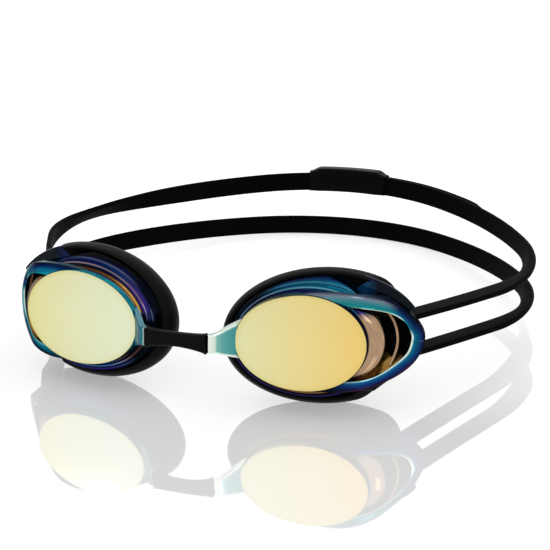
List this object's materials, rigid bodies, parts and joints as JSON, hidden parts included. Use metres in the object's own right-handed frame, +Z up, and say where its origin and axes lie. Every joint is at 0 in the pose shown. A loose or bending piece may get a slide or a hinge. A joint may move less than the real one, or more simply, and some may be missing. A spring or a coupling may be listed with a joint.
{
  "type": "swim goggles",
  "caption": "Racing swim goggles: mirrored eyecups on soft gaskets, joined by a flexible nose bridge and a looped double head strap with an adjuster clip.",
  "frame": {"origin": "bottom centre of the bounding box; the goggles stand on the two gaskets and the back of the strap", "axes": "lenses face -Y, the strap goes back along +Y, +X is the wearer's left as seen by somebody facing the lenses on the right, +Z up"},
  "size_m": [0.1749, 0.1796, 0.0411],
  "materials": {
    "mirrored_polycarbonate": "mirror coated polycarbonate, gold on the face turning teal, blue and purple on the slopes",
    "soft_black": "satin thermoplastic elastomer",
    "strap_black": "smooth satin silicone",
    "clip_black": "moulded, slightly glossy"
  },
  "bodies": {
    "nose_bridge": {"nose_bridge": "soft_black"},
    "left_cup": {"left_eyecup": "mirrored_polycarbonate", "left_gasket": "soft_black"},
    "right_cup": {"right_eyecup": "mirrored_polycarbonate", "right_gasket": "soft_black"},
    "strap": {"head_strap": "strap_black"},
    "clip": {"strap_clip": "clip_black"}
  },
  "joints": [
    {"name": "left_cup_tilt", "type": "hinge", "parent": "nose_bridge", "child": "left_cup", "pos_m": [-0.0606, -0.05806, 0.02077], "axis": [-0.8631, 0.5022, -0.0537], "range_deg": [-4, 4], "stiffness_Nm_per_rad": 0.2},
    {"name": "right_cup_tilt", "type": "hinge", "parent": "nose_bridge", "child": "right_cup", "pos_m": [0.0606, -0.05806, 0.02077], "axis": [0.8631, 0.5022, -0.0537], "range_deg": [-4, 4], "stiffness_Nm_per_rad": 0.2},
    {"name": "strap_swing", "type": "hinge", "parent": "nose_bridge", "child": "strap", "pos_m": [0, -0.05806, 0.02077], "axis": [1, 0, 0], "range_deg": [-15, 15]},
    {"name": "clip_adjust", "type": "hinge", "parent": "strap", "child": "clip", "pos_m": [0, 0.01236, 0.02995], "axis": [0, 0.1264, 0.992], "range_deg": [-10, 10]}
  ]
}
